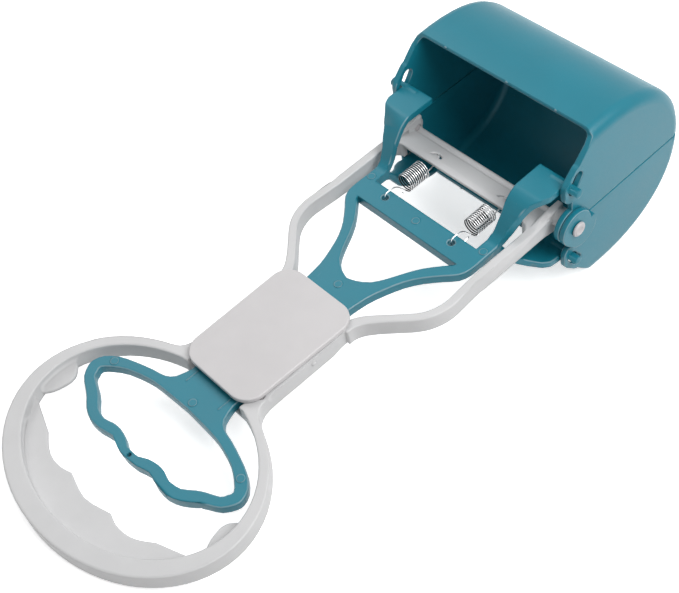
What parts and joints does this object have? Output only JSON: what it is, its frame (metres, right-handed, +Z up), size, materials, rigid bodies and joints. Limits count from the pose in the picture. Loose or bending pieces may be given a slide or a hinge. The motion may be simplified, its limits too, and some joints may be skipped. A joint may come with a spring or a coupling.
{
  "type": "pooper scooper",
  "caption": "Hand-held waste scooper: a ring handle and shank carry two hinged bucket jaws, opened by pulling a sliding finger trigger against springs.",
  "frame": {"origin": "centre of the overall box, on the ground that the tool lies on", "axes": "+Y along the tool from the hand ring to the jaws, +X across, +Z up from the ground"},
  "size_m": [0.1152, 0.2938, 0.0837],
  "materials": {
    "grey_plastic": "moulded, fine satin",
    "warm_grey_plastic": "moulded, fine matt grain",
    "teal_plastic": "moulded, soft gloss",
    "pin_plastic": "moulded, soft gloss",
    "spring_steel": "bright drawn wire"
  },
  "bodies": {
    "frame": {"handle_frame": "grey_plastic", "cover_plate": "warm_grey_plastic", "hinge_pin_left": "pin_plastic", "hinge_pin_right": "pin_plastic", "spring_left": "spring_steel", "spring_right": "spring_steel"},
    "trigger_body": {"trigger": "teal_plastic"},
    "upper_jaw_body": {"upper_jaw": "teal_plastic"},
    "lower_jaw_body": {"lower_jaw": "teal_plastic"}
  },
  "joints": [
    {"name": "trigger_slide", "type": "slide", "parent": "frame", "child": "trigger_body", "axis": [0, -0.9882, -0.153], "range_m": [0, 0.015], "stiffness_N_per_m": 400, "springref_m": -0.005, "deforming": ["spring_left", "spring_right"]},
    {"name": "upper_jaw_hinge", "type": "hinge", "parent": "frame", "child": "upper_jaw_body", "pos_m": [0, 0.07917, 0.03885], "axis": [1, 0, 0], "range_deg": [0, 45]},
    {"name": "lower_jaw_hinge", "type": "hinge", "parent": "frame", "child": "lower_jaw_body", "pos_m": [0, 0.07917, 0.03885], "axis": [1, 0, 0], "range_deg": [-45, 0]}
  ],
  "couplings": [
    {"joint": "upper_jaw_hinge", "follows": "trigger_slide", "rad_per_m": 52.35},
    {"joint": "lower_jaw_hinge", "follows": "trigger_slide", "rad_per_m": -52.35}
  ]
}
